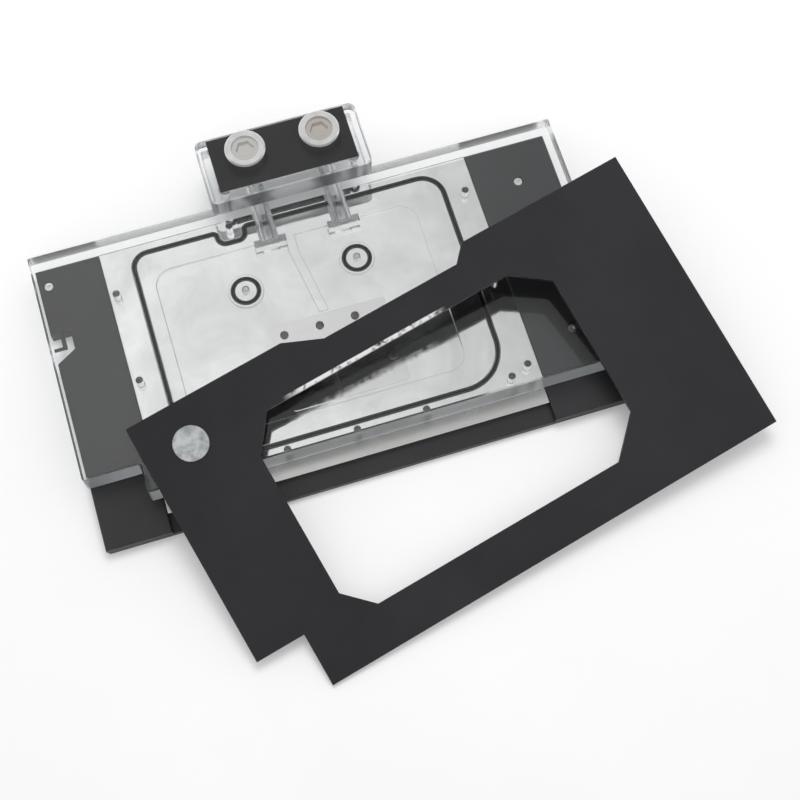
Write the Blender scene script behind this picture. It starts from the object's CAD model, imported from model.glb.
import math

import bmesh
import bpy
from mathutils import Matrix, Vector


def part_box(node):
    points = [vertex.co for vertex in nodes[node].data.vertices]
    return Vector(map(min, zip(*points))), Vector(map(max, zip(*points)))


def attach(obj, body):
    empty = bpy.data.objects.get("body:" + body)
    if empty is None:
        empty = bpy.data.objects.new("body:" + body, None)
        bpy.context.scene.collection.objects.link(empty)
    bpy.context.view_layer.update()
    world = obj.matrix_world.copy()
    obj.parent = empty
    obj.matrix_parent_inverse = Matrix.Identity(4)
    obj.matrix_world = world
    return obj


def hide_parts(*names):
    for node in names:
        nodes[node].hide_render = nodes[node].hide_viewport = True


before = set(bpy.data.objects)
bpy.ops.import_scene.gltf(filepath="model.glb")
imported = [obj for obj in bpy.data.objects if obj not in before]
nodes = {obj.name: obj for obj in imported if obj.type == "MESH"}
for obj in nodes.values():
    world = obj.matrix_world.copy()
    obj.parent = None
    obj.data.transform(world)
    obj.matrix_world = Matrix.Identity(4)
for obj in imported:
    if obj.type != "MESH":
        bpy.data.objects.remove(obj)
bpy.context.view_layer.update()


# Base frame: a 3 mm aluminium sheet, milled to its outline with a window for the cold plate,
# then bead blasted and anodised black. Every other piece is fixed to it or through it.

def place(tree, kind, inputs=None, **options):
    """Add a shader node with its options, and with its inputs as values or as links."""
    node = tree.nodes.new("ShaderNode" + kind)
    for option, choice in options.items():
        setattr(node, option, choice)
    for name, given in (inputs or {}).items():
        if isinstance(given, bpy.types.NodeSocket):
            tree.links.new(given, node.inputs[name])
        else:
            node.inputs[name].default_value = given
    return node


def start_effect(name, inputs, outputs):
    """An empty shader group and the nodes at its two ends."""
    group = bpy.data.node_groups.new(name, "ShaderNodeTree")
    for label, usual in inputs.items():
        kind = "NodeSocketVector" if isinstance(usual, tuple) else "NodeSocketFloat"
        group.interface.new_socket(label, in_out="INPUT", socket_type=kind).default_value = usual
    for label, kind in outputs.items():
        group.interface.new_socket(label, in_out="OUTPUT", socket_type=kind)
    return group, group.nodes.new("NodeGroupInput").outputs, group.nodes.new("NodeGroupOutput")


def make_blasted_grain():
    """The fine pits of a blasted or moulded skin, and the broad clouds that lie over them."""
    group, given, result = start_effect(
        "blasted_grain", {"Grain Scale": 3000, "Cloud Scale": 18},
        {"Height": "NodeSocketFloat", "Clouds": "NodeSocketFloat"})
    where = place(group, "TexCoord").outputs["Object"]
    grain = place(group, "TexNoise",
                  {"Vector": where, "Scale": given["Grain Scale"], "Detail": 2.0})
    clouds = place(group, "TexNoise", {
        "Vector": where, "Scale": given["Cloud Scale"], "Detail": 5.0, "Roughness": 0.6})
    spread = place(group, "MapRange", {
        "Value": clouds.outputs["Fac"], "From Min": 0.35, "From Max": 0.65})
    group.links.new(grain.outputs["Fac"], result.inputs["Height"])
    group.links.new(spread.outputs["Result"], result.inputs["Clouds"])
    return group


def make_broken_edges():
    """The normal of an edge that has been broken, and a mask of where its skin is rubbed off."""
    group, given, result = start_effect(
        "broken_edges", {"Radius": 0.0002, "Patch Scale": 120},
        {"Normal": "NodeSocketVector", "Wear": "NodeSocketFloat"})
    rounded = place(group, "Bevel", {"Radius": given["Radius"]}, samples=6)
    flat = place(group, "NewGeometry").outputs["Normal"]
    likeness = place(group, "VectorMath", {0: rounded.outputs["Normal"], 1: flat},
                     operation="DOT_PRODUCT")
    edge = place(group, "MapRange", {
        "Value": likeness.outputs["Value"], "From Min": 0.985, "From Max": 0.88})
    where = place(group, "TexCoord").outputs["Object"]
    patches = place(group, "TexNoise", {
        "Vector": where, "Scale": given["Patch Scale"], "Detail": 3.0})
    rubbed = place(group, "MapRange", {
        "Value": patches.outputs["Fac"], "From Min": 0.42, "From Max": 0.62})
    wear = place(group, "Math", {0: edge.outputs["Result"], 1: rubbed.outputs["Result"]},
                 operation="MULTIPLY")
    group.links.new(rounded.outputs["Normal"], result.inputs["Normal"])
    group.links.new(wear.outputs["Value"], result.inputs["Wear"])
    return group


blasted_grain = make_blasted_grain()
broken_edges = make_broken_edges()


def effect(tree, group, **settings):
    """Put a shader group into a material with its own settings, and give its outputs."""
    node = tree.nodes.new("ShaderNodeGroup")
    node.node_tree = group
    for label, setting in settings.items():
        node.inputs[label.replace("_", " ")].default_value = setting
    return node.outputs


def start_finish(name, **settings):
    """A material whose Principled shader has some values that are the same all over."""
    material = bpy.data.materials.new(name)
    material.use_nodes = True
    shader = material.node_tree.nodes["Principled BSDF"]
    for label, setting in settings.items():
        shader.inputs[label.replace("_", " ")].default_value = setting
    return material, material.node_tree, shader


def between(tree, mask, low, high):
    """A value that runs from low to high as a mask runs from 0 to 1."""
    return place(tree, "MapRange", {"Value": mask, "To Min": low, "To Max": high}).outputs["Result"]


def blend_colours(tree, mask, first, second):
    """A colour that runs from the first to the second as a mask runs from 0 to 1."""
    mixed = place(tree, "Mix", {"Factor": mask}, data_type="RGBA")
    for socket, colour in zip(mixed.inputs[6:8], (first, second)):
        if isinstance(colour, bpy.types.NodeSocket):
            tree.links.new(colour, socket)
        else:
            socket.default_value = (*colour, 1)
    return mixed.outputs[2]


def connect(tree, shader, colour, roughness, height, normal, depth, strength):
    """Lead colour, roughness and a relief of the given depth into a shader."""
    relief = place(tree, "Bump", {
        "Height": height, "Distance": depth, "Strength": strength, "Normal": normal})
    tree.links.new(colour, shader.inputs["Base Color"])
    tree.links.new(roughness, shader.inputs["Roughness"])
    tree.links.new(relief.outputs["Normal"], shader.inputs["Normal"])


def anodised_black(name, dark, faded, bare_share, shine):
    bare_metal = (0.3, 0.3, 0.31)
    material, tree, shader = start_finish(name, Specular_IOR_Level=shine)
    skin = effect(tree, blasted_grain, Grain_Scale=2600, Cloud_Scale=14)
    edges = effect(tree, broken_edges, Radius=0.00022, Patch_Scale=140)
    dyed = blend_colours(tree, skin["Clouds"], dark, faded)
    bare = place(tree, "Math", {0: edges["Wear"], 1: bare_share}, operation="MULTIPLY")
    colour = blend_colours(tree, bare.outputs["Value"], dyed, bare_metal)
    roughness = between(tree, skin["Clouds"], low=0.4, high=0.52)
    connect(tree, shader, colour, roughness, skin["Height"], edges["Normal"],
            depth=0.00006, strength=0.3)
    return material


def dress(material, *names):
    """Give solids of the frame their finish."""
    for name in names:
        mesh = nodes[name].data
        mesh.materials.clear()
        mesh.materials.append(material)


frame_black = anodised_black("frame_black", dark=(0.013, 0.013, 0.014),
                             faded=(0.024, 0.024, 0.026), bare_share=0.5, shine=0.45)
dress(frame_black, "base_frame")


# Cold plate: one piece of copper, milled with its chamber, rib, bosses and fins, polished and
# plated with bright nickel. Its flange lies on the frame and its belly drops through it.

def make_drawn_lines():
    """Fine parallel lines, stretched along the axis whose pull is the smallest."""
    group, given, result = start_effect(
        "drawn_lines", {"Scale": 2500, "Pull": (0.02, 1, 1)}, {"Lines": "NodeSocketFloat"})
    where = place(group, "TexCoord").outputs["Object"]
    drawn = place(group, "VectorMath", {0: where, 1: given["Pull"]}, operation="MULTIPLY")
    lines = place(group, "TexNoise", {
        "Vector": drawn.outputs["Vector"], "Scale": given["Scale"], "Detail": 2.0})
    group.links.new(lines.outputs["Fac"], result.inputs["Lines"])
    return group


def make_handling():
    """Soft smudges, as cloths and fingers leave on a bright face."""
    group, given, result = start_effect(
        "handling", {"Smudge Scale": 30}, {"Smudges": "NodeSocketFloat"})
    where = place(group, "TexCoord").outputs["Object"]
    broad = place(group, "TexNoise", {
        "Vector": where, "Scale": given["Smudge Scale"], "Detail": 5.0, "Roughness": 0.6,
        "Distortion": 0.6})
    spread = place(group, "MapRange", {
        "Value": broad.outputs["Fac"], "From Min": 0.36, "From Max": 0.68})
    group.links.new(spread.outputs["Result"], result.inputs["Smudges"])
    return group


drawn_lines = make_drawn_lines()
handling = make_handling()


def plated_nickel():
    chamber_level = 0.0055
    clear_top_edge = -0.0502
    milled_roughness = 0.03
    open_roughness = 0.2
    material, tree, shader = start_finish("plated_nickel", Metallic=1)
    smudges = effect(tree, handling, Smudge_Scale=34)["Smudges"]
    lines = effect(tree, drawn_lines, Scale=1500, Pull=(0.03, 1, 1))["Lines"]
    edges = effect(tree, broken_edges, Radius=0.0004, Patch_Scale=90)
    where = place(tree, "SeparateXYZ", {
        "Vector": place(tree, "TexCoord").outputs["Object"]}).outputs
    inside = place(tree, "Math", {0: where["Z"], 1: chamber_level}, operation="LESS_THAN")
    uncovered = place(tree, "Math", {0: where["Y"], 1: clear_top_edge}, operation="LESS_THAN")
    bright = blend_colours(tree, smudges, (0.93, 0.93, 0.925), (0.76, 0.76, 0.75))
    colour = blend_colours(tree, uncovered.outputs["Value"], bright, (0.58, 0.58, 0.565))
    polished = between(tree, smudges, low=0.03, high=0.1)
    milled = place(tree, "Math", {
        0: inside.outputs["Value"], 1: milled_roughness, 2: polished}, operation="MULTIPLY_ADD")
    roughness = place(tree, "Math", {
        0: uncovered.outputs["Value"], 1: open_roughness, 2: milled.outputs["Value"]},
        operation="MULTIPLY_ADD")
    connect(tree, shader, colour, roughness.outputs["Value"], lines, edges["Normal"],
            depth=0.00004, strength=0.2)
    return material


dress(plated_nickel(), "cold_plate")


# Seals: nitrile rubber, lying in milled grooves: one long loop round the coolant, and small
# rings at the bosses, under the terminal and under the plugs. Their moulded skin is dull.

def nitrile_rubber():
    material, tree, shader = start_finish("nitrile_rubber", Specular_IOR_Level=0.4)
    skin = effect(tree, blasted_grain, Grain_Scale=5000, Cloud_Scale=300)
    edges = effect(tree, broken_edges, Radius=0.0006, Patch_Scale=100)
    colour = blend_colours(tree, skin["Clouds"], (0.008, 0.008, 0.008), (0.02, 0.02, 0.021))
    roughness = between(tree, skin["Clouds"], low=0.4, high=0.6)
    connect(tree, shader, colour, roughness, skin["Height"], edges["Normal"],
            depth=0.00003, strength=0.2)
    return material


dress(nitrile_rubber(), "main_oring", "boss_orings", "terminal_orings", "plug_orings")


# Jet plate: thin stainless sheet over the fins, brushed along its length, with a slot that
# leads the coolant down into them. Low screws of blackened steel hold it to the chamber floor.

def brushed_steel():
    material, tree, shader = start_finish("brushed_steel", Metallic=1)
    lines = effect(tree, drawn_lines, Scale=3200, Pull=(0.015, 1, 1))["Lines"]
    edges = effect(tree, broken_edges, Radius=0.00012, Patch_Scale=200)
    colour = blend_colours(tree, lines, (0.86, 0.855, 0.845), (0.72, 0.715, 0.705))
    roughness = between(tree, lines, low=0.05, high=0.13)
    connect(tree, shader, colour, roughness, lines, edges["Normal"],
            depth=0.00004, strength=0.25)
    return material


def screw_steel(name, fresh, worn):
    material, tree, shader = start_finish(name, Metallic=1)
    skin = effect(tree, blasted_grain, Grain_Scale=5000, Cloud_Scale=350)
    edges = effect(tree, broken_edges, Radius=0.00008, Patch_Scale=500)
    worn_skin = place(tree, "Math", {0: edges["Wear"], 1: skin["Clouds"]}, operation="MAXIMUM")
    colour = blend_colours(tree, worn_skin.outputs["Value"], fresh, worn)
    roughness = between(tree, skin["Clouds"], low=0.24, high=0.4)
    connect(tree, shader, colour, roughness, skin["Height"], edges["Normal"],
            depth=0.00002, strength=0.2)
    return material


def turn_screw(head, head_height, shank, length, key, key_depth, pitch):
    """A socket screw with its seat at the origin, its head above and its thread below."""
    corner = 0.1 * head_height
    root = shank - 0.55 * pitch
    plain_neck = 0.3 * pitch
    turns = int(length / pitch - 0.8)
    half_angle = math.pi / 6
    outline = [(key, head_height), (head - corner, head_height), (head, head_height - corner),
               (head, 0), (shank, 0), (shank, -plain_neck)]
    for turn in range(turns):
        crest = -plain_neck - (turn + 1) * pitch
        outline += [(root, crest + pitch / 2), (shank, crest)]
    outline += [(root, -length), (0, -length)]
    screw = bmesh.new()
    points = [screw.verts.new((radius, 0, height)) for radius, height in outline]
    lines = [screw.edges.new(pair) for pair in zip(points, points[1:])]
    bmesh.ops.spin(screw, geom=points + lines, cent=(0, 0, 0), axis=(0, 0, 1),
                   angle=2 * math.pi, steps=30, use_merge=True)
    bmesh.ops.remove_doubles(screw, verts=screw.verts, dist=0.000001)
    mouth = [edge for edge in screw.edges if edge.is_boundary]
    for point in {point for edge in mouth for point in edge.verts}:
        from_flat = math.atan2(point.co.y, point.co.x) % (2 * half_angle) - half_angle
        reach = key * math.cos(half_angle) / math.cos(from_flat)
        pull = reach / point.co.xy.length
        bmesh.ops.scale(screw, verts=[point], vec=(pull, pull, 1))
    walls = bmesh.ops.extrude_edge_only(screw, edges=mouth)["geom"]
    bmesh.ops.translate(screw, vec=(0, 0, -key_depth), verts=[
        item for item in walls if isinstance(item, bmesh.types.BMVert)])
    bmesh.ops.edgeloop_fill(screw, edges=[edge for edge in screw.edges if edge.is_boundary])
    bmesh.ops.recalc_face_normals(screw, faces=screw.faces)
    return screw


def solids_of(node):
    """The lowest and highest corner of each solid in a node of the frame."""
    copy = bmesh.new()
    copy.from_mesh(nodes[node].data)
    bmesh.ops.remove_doubles(copy, verts=copy.verts, dist=0.000001)
    waiting = set(copy.verts)
    boxes = []
    while waiting:
        island = [waiting.pop()]
        for point in island:
            for edge in point.link_edges:
                neighbour = edge.other_vert(point)
                if neighbour in waiting:
                    waiting.remove(neighbour)
                    island.append(neighbour)
        spans = list(zip(*(point.co for point in island)))
        boxes.append((Vector(map(min, spans)), Vector(map(max, spans))))
    copy.free()
    return sorted(boxes, key=lambda box: tuple(box[0]))


def fit_screws(name, node, slot, finish, head_down=False, **sizes):
    """Threaded socket screws in the places of a node's plain ones."""
    screw = turn_screw(**sizes)
    if head_down:
        bmesh.ops.rotate(screw, verts=screw.verts, cent=(0, 0, 0),
                         matrix=Matrix.Rotation(math.pi, 3, "X"))
    one = bpy.data.meshes.new(name + "_one")
    screw.to_mesh(one)
    screw.free()
    fitted = bmesh.new()
    for low, high in solids_of(node):
        seat = low.z + sizes["head_height"] if head_down else high.z - sizes["head_height"]
        placed = len(fitted.verts)
        fitted.from_mesh(one)
        fitted.verts.ensure_lookup_table()
        bmesh.ops.translate(fitted, verts=fitted.verts[placed:],
                            vec=((low.x + high.x) / 2, (low.y + high.y) / 2, seat))
    mesh = bpy.data.meshes.new(name)
    fitted.to_mesh(mesh)
    fitted.free()
    bpy.data.meshes.remove(one)
    mesh.materials.append(finish)
    piece = bpy.data.objects.new(name, mesh)
    bpy.context.scene.collection.objects.link(piece)
    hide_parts(node)
    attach(piece, "root")


black_oxide = screw_steel("black_oxide", fresh=(0.045, 0.045, 0.05), worn=(0.14, 0.135, 0.13))
dress(brushed_steel(), "jet_plate")
fit_screws("jet_plate_screws", "jet_screws", "dark_steel", black_oxide,
           head=0.0018, head_height=0.0005, shank=0.00075, length=0.0024,
           key=0.0008, key_depth=0.0003, pitch=0.00035)


# Side panels: milled aluminium strips that level the frame with the cold plate's flange. Small
# screws hold them from above and below, and a sprung hook stands in the left panel's bay.

zinc = screw_steel("zinc", fresh=(0.88, 0.88, 0.87), worn=(0.74, 0.74, 0.73))
small_screw = {"head": 0.0019, "head_height": 0.0013, "shank": 0.00095, "length": 0.0034,
               "key": 0.0008, "key_depth": 0.0007, "pitch": 0.0004}
dress(frame_black, "left_panel", "right_panel", "edge_clip")
fit_screws("panel_top_screws", "panel_screws", "steel", zinc, **small_screw)
fit_screws("panel_under_screws", "under_screws", "dark_steel", black_oxide, head_down=True,
           **small_screw)


# Clear top: 13 mm cast acrylic, its large faces as cast and polished, its edges and channels
# milled and left satin. Screws come up into it through the frame and the cold plate.

def cast_acrylic():
    milled_grey = (0.42, 0.44, 0.455)
    satin_roughness = 0.28
    upright_below = 0.5
    flat_above = 0.95
    material, tree, shader = start_finish("cast_acrylic", Transmission_Weight=1, IOR=1.49)
    smudges = effect(tree, handling, Smudge_Scale=20)["Smudges"]
    cutter_marks = effect(tree, drawn_lines, Scale=1800, Pull=(1, 1, 0.02))["Lines"]
    facing = place(tree, "SeparateXYZ", {
        "Vector": place(tree, "NewGeometry").outputs["Normal"]}).outputs["Z"]
    level = place(tree, "Math", {0: facing}, operation="ABSOLUTE")
    milled = place(tree, "Math", {0: level.outputs["Value"], 1: upright_below},
                   operation="LESS_THAN")
    flat = place(tree, "Math", {0: level.outputs["Value"], 1: flat_above},
                 operation="GREATER_THAN")
    satin = place(tree, "Math", {0: 1.0, 1: flat.outputs["Value"]}, operation="SUBTRACT")
    cast = blend_colours(tree, smudges, (0.968, 0.975, 0.976), (0.955, 0.964, 0.966))
    colour = blend_colours(tree, milled.outputs["Value"], cast, milled_grey)
    polished = between(tree, smudges, low=0, high=0.012)
    roughness = place(tree, "Math", {
        0: satin.outputs["Value"], 1: satin_roughness, 2: polished}, operation="MULTIPLY_ADD")
    marks = place(tree, "Math", {0: cutter_marks, 1: milled.outputs["Value"]},
                  operation="MULTIPLY")
    relief = place(tree, "Bump", {
        "Height": marks.outputs["Value"], "Distance": 0.00002, "Strength": 0.2})
    tree.links.new(colour, shader.inputs["Base Color"])
    tree.links.new(roughness.outputs["Value"], shader.inputs["Roughness"])
    tree.links.new(relief.outputs["Normal"], shader.inputs["Normal"])
    clear = place(tree, "BsdfTransparent", {"Color": (0.96, 0.97, 0.97, 1)})
    lit = place(tree, "MixShader", {
        "Fac": place(tree, "LightPath").outputs["Is Shadow Ray"],
        1: shader.outputs["BSDF"], 2: clear.outputs["BSDF"]})
    tree.links.new(lit.outputs["Shader"], tree.nodes["Material Output"].inputs["Surface"])
    return material


acrylic = cast_acrylic()
dress(acrylic, "acrylic_top")
fit_screws("clear_top_screws", "lid_screws", "dark_steel", black_oxide, head_down=True,
           head=0.0025, head_height=0.0016, shank=0.0015, length=0.0115,
           key=0.0011, key_depth=0.0009, pitch=0.0005)
bright_steel = screw_steel("bright_steel", fresh=(0.66, 0.65, 0.64), worn=(0.5, 0.49, 0.48))
fit_screws("chamber_boss_screws", "boss_screws", "steel", bright_steel, head_down=True,
           head=0.0028, head_height=0.0012, shank=0.0015, length=0.0065,
           key=0.0013, key_depth=0.0007, pitch=0.0005)


# Terminal: a second block of acrylic, screwed down on the top's tongue over two seals. Its
# plate is thin black acetal, let into the block with a smooth, faintly glossy face.

def black_acetal():
    material, tree, shader = start_finish("black_acetal", Specular_IOR_Level=0.5)
    smudges = effect(tree, handling, Smudge_Scale=60)["Smudges"]
    skin = effect(tree, blasted_grain, Grain_Scale=3800, Cloud_Scale=40)
    edges = effect(tree, broken_edges, Radius=0.0002, Patch_Scale=150)
    colour = blend_colours(tree, skin["Clouds"], (0.008, 0.008, 0.009), (0.013, 0.013, 0.014))
    roughness = between(tree, smudges, low=0.18, high=0.3)
    connect(tree, shader, colour, roughness, skin["Height"], edges["Normal"],
            depth=0.00003, strength=0.1)
    return material


dress(acrylic, "terminal_body")
dress(black_acetal(), "terminal_plate")
fit_screws("terminal_block_screws", "terminal_screws", "steel", bright_steel,
           head=0.0023, head_height=0.0024, shank=0.00125, length=0.011,
           key=0.0012, key_depth=0.0014, pitch=0.00045)


# Port plugs: brass, turned and nickel plated, screwed into the terminal. Each has a bright
# rim round a slightly sunk face with a hexagon key, and its turning marks run round its axis.

def make_lathe_rings():
    """Uneven rings round a centre, as a turning tool leaves them, and how far out each is."""
    group, given, result = start_effect(
        "lathe_rings", {"Centre": (0, 0, 0), "Ring Scale": 2500},
        {"Rings": "NodeSocketFloat", "Reach": "NodeSocketFloat"})
    where = place(group, "TexCoord").outputs["Object"]
    offset = place(group, "VectorMath", {0: where, 1: given["Centre"]}, operation="SUBTRACT")
    reach = place(group, "VectorMath", {0: offset.outputs["Vector"]}, operation="LENGTH")
    along = place(group, "CombineXYZ", {"X": reach.outputs["Value"]})
    rings = place(group, "TexNoise", {
        "Vector": along.outputs["Vector"], "Scale": given["Ring Scale"], "Detail": 2.0})
    group.links.new(rings.outputs["Fac"], result.inputs["Rings"])
    group.links.new(reach.outputs["Value"], result.inputs["Reach"])
    return group


lathe_rings = make_lathe_rings()


def turned_plug(name, node, sunk_colour):
    dish_radius = 0.0059
    low, high = (Vector(corner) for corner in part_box(node))
    top_centre = ((low.x + high.x) / 2, (low.y + high.y) / 2, high.z)
    material, tree, shader = start_finish(name, Metallic=1)
    turning = effect(tree, lathe_rings, Centre=top_centre, Ring_Scale=2600)
    smudges = effect(tree, handling, Smudge_Scale=150)["Smudges"]
    edges = effect(tree, broken_edges, Radius=0.0002, Patch_Scale=150)
    rim = blend_colours(tree, smudges, (0.78, 0.775, 0.76), (0.66, 0.655, 0.64))
    sunk = place(tree, "Math", {0: turning["Reach"], 1: dish_radius}, operation="LESS_THAN")
    colour = blend_colours(tree, sunk.outputs["Value"], rim, sunk_colour)
    roughness = between(tree, smudges, low=0.14, high=0.26)
    connect(tree, shader, colour, roughness, turning["Rings"], edges["Normal"],
            depth=0.00005, strength=0.3)
    return material


dress(turned_plug("plug_nickel_left", "plug_left", sunk_colour=(0.6, 0.59, 0.57)), "plug_left")
dress(turned_plug("plug_nickel_right", "plug_right", sunk_colour=(0.55, 0.52, 0.48)), "plug_right")


# Cover plate: a 2 mm aluminium plate with cut-outs, blasted and anodised black, taken off and
# leaning on the top. A small turned badge of mottled metal is let into its corner.

def mottled_metal():
    low, high = (Vector(corner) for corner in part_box("cover_disc"))
    material, tree, shader = start_finish("mottled_metal", Metallic=1)
    turning = effect(tree, lathe_rings, Centre=tuple((low + high) / 2), Ring_Scale=2200)
    skin = effect(tree, blasted_grain, Grain_Scale=2500, Cloud_Scale=260)
    edges = effect(tree, broken_edges, Radius=0.0002, Patch_Scale=150)
    colour = blend_colours(tree, skin["Clouds"], (0.26, 0.275, 0.28), (0.56, 0.575, 0.58))
    roughness = between(tree, skin["Clouds"], low=0.25, high=0.42)
    connect(tree, shader, colour, roughness, turning["Rings"], edges["Normal"],
            depth=0.00005, strength=0.25)
    return material


def rub_window_rim(material):
    """Bare metal along the middle of the window's back rim, where the skin is rubbed off."""
    corner = Vector((-0.094591, -0.023877, 0.024581))
    lean = Matrix.Rotation(math.radians(11.64), 3, "X")
    turn = Matrix.Rotation(math.radians(13.574), 3, "Z")
    along, across = (lean @ turn @ Vector(axis) for axis in ((1, 0, 0), (0, 1, 0)))
    bare_metal = (0.85, 0.85, 0.84)
    limits = ((along, 0.061, 0.07), (along, 0.138, 0.131),
              (across, -0.0216, -0.0214), (across, -0.0196, -0.0199))
    tree = material.node_tree
    shader = tree.nodes["Principled BSDF"]
    offset = place(tree, "VectorMath", {
        0: place(tree, "TexCoord").outputs["Object"], 1: corner}, operation="SUBTRACT")
    grain = effect(tree, blasted_grain, Grain_Scale=400)["Height"]
    mask = place(tree, "MapRange", {
        "Value": grain, "From Min": 0.3, "From Max": 0.5}).outputs["Result"]
    for direction, outside, inside in limits:
        reach = place(tree, "VectorMath", {0: offset.outputs["Vector"], 1: direction},
                      operation="DOT_PRODUCT")
        within = place(tree, "MapRange", {
            "Value": reach.outputs["Value"], "From Min": outside, "From Max": inside})
        mask = place(tree, "Math", {0: mask, 1: within.outputs["Result"]},
                     operation="MULTIPLY").outputs["Value"]
    dyed = shader.inputs["Base Color"].links[0].from_socket
    tree.links.new(blend_colours(tree, mask, dyed, bare_metal),
                   shader.inputs["Base Color"])
    tree.links.new(mask, shader.inputs["Metallic"])


cover_black = anodised_black("cover_black", dark=(0.0105, 0.0105, 0.0125),
                             faded=(0.021, 0.021, 0.0245), bare_share=0.35, shine=0.28)
rub_window_rim(cover_black)
dress(cover_black, "cover_plate")
dress(mottled_metal(), "cover_disc")


# Table: a wide sheet of white paper under the object. It keeps the object's soft shadow, and
# shows white to the eye and in polished faces.

def white_paper():
    own_white = 0.2
    material, tree, shader = start_finish("white_paper", Roughness=0.9, Specular_IOR_Level=0.2)
    fibres = effect(tree, blasted_grain, Grain_Scale=900, Cloud_Scale=6)
    colour = blend_colours(tree, fibres["Clouds"], (0.93, 0.93, 0.93), (0.96, 0.96, 0.96))
    tree.links.new(colour, shader.inputs["Base Color"])
    seen = place(tree, "LightPath").outputs
    direct = place(tree, "Math", {0: seen["Is Camera Ray"], 1: seen["Is Glossy Ray"]},
                   operation="MAXIMUM")
    any_view = place(tree, "Math", {0: direct.outputs["Value"], 1: seen["Is Transmission Ray"]},
                     operation="MAXIMUM")
    share = place(tree, "Math", {0: any_view.outputs["Value"], 1: own_white},
                  operation="MULTIPLY")
    white = place(tree, "Emission", {"Color": (1, 1, 1, 1), "Strength": 1.0})
    shown = place(tree, "MixShader", {
        "Fac": share.outputs["Value"], 1: shader.outputs["BSDF"], 2: white.outputs["Emission"]})
    tree.links.new(shown.outputs["Shader"], tree.nodes["Material Output"].inputs["Surface"])
    return material


half_side = 2
sheet = bmesh.new()
bmesh.ops.create_grid(sheet, x_segments=4, y_segments=4, size=half_side)
table_mesh = bpy.data.meshes.new("table")
sheet.to_mesh(table_mesh)
sheet.free()
table_mesh.materials.append(white_paper())
table = bpy.data.objects.new("table", table_mesh)
bpy.context.scene.collection.objects.link(table)


# Light: an even white room with one broad soft lamp above and behind the object. Polished faces
# also mirror its greyer walls, a light box on its right and a dimmer part of its ceiling.

room = bpy.data.worlds.new("room")
room.use_nodes = True
tree = room.node_tree
plain_level = (0.68, 0.68, 0.69)
bright_ceiling = (1, 1, 1)
dim_ceiling = (0.66, 0.665, 0.67)
box_level = (1.15, 1.16, 1.18)
grey_wall = (0.4, 0.41, 0.42)
direction = place(tree, "SeparateXYZ", {
    "Vector": place(tree, "TexCoord").outputs["Generated"]}).outputs
rightward = place(tree, "MapRange", {
    "Value": direction["X"], "From Min": -0.08, "From Max": 0.24})
backward = place(tree, "MapRange", {
    "Value": direction["Y"], "From Min": 0.08, "From Max": 0.28})
dim_part = place(tree, "Math", {0: rightward.outputs["Result"], 1: backward.outputs["Result"]},
                 operation="MULTIPLY")
ceiling = blend_colours(tree, dim_part.outputs["Value"], bright_ceiling, dim_ceiling)
above_sill = place(tree, "MapRange", {
    "Value": direction["Z"], "From Min": 0.12, "From Max": 0.35})
below_ceiling = place(tree, "MapRange", {
    "Value": direction["Z"], "From Min": 0.78, "From Max": 0.6})
wall = place(tree, "Math", {
    0: above_sill.outputs["Result"], 1: below_ceiling.outputs["Result"]}, operation="MULTIPLY")
forward = place(tree, "MapRange", {"Value": direction["Y"], "From Min": 0.1, "From Max": 0})
far_right = place(tree, "MapRange", {"Value": direction["X"], "From Min": 0.1, "From Max": 0.4})
light_box = place(tree, "Math", {
    0: forward.outputs["Result"], 1: far_right.outputs["Result"]}, operation="MULTIPLY")
lit_ceiling = blend_colours(tree, light_box.outputs["Value"], ceiling, box_level)
mirrored = blend_colours(tree, wall.outputs["Value"], lit_ceiling, grey_wall)
ray = place(tree, "LightPath").outputs
seen_in_gloss = place(tree, "Math", {0: ray["Is Glossy Ray"], 1: ray["Is Transmission Ray"]},
                      operation="MAXIMUM")
lighting = blend_colours(tree, seen_in_gloss.outputs["Value"], plain_level, mirrored)
shown = blend_colours(tree, ray["Is Camera Ray"], lighting, (1, 1, 1))
tree.links.new(shown, tree.nodes["Background"].inputs["Color"])
bpy.context.scene.world = room

lamp_light = bpy.data.lights.new("soft_lamp", "AREA")
lamp_light.size = 0.5
lamp_light.energy = 4.0
lamp = bpy.data.objects.new("soft_lamp", lamp_light)
lamp_place = Vector((0.12, 0.3, 0.85))
lamp_turn = lamp_place.to_track_quat("Z", "Y").to_matrix().to_4x4()
lamp.matrix_world = Matrix.Translation(lamp_place) @ lamp_turn
lamp.visible_glossy = False
lamp.visible_transmission = False
bpy.context.scene.collection.objects.link(lamp)


# Camera: high in front of the object and a little to its left, looking down at it.

azimuth = math.radians(-19.2)
elevation = math.radians(70.74)
roll = math.radians(2.14)
target = Vector((0.0169, -0.03834, 0.008))
distance = 0.62
back = Vector((math.sin(azimuth) * math.cos(elevation), -math.cos(azimuth) * math.cos(elevation),
               math.sin(elevation)))
across = Vector((math.cos(azimuth), math.sin(azimuth), 0))
upward = back.cross(across)
right = math.cos(roll) * across + math.sin(roll) * upward
up = math.cos(roll) * upward - math.sin(roll) * across
camera_data = bpy.data.cameras.new("camera")
camera_data.lens = 66.6
camera_data.sensor_width = 36
camera = bpy.data.objects.new("camera", camera_data)
camera.matrix_world = Matrix.Translation(target + back * distance) @ Matrix(
    (right, up, back)).transposed().to_4x4()
bpy.context.scene.collection.objects.link(camera)
bpy.context.scene.camera = camera
bpy.context.scene.view_settings.view_transform = "Standard"
cycles = bpy.context.scene.cycles
cycles.max_bounces = 24
cycles.glossy_bounces = 16
cycles.transmission_bounces = 24
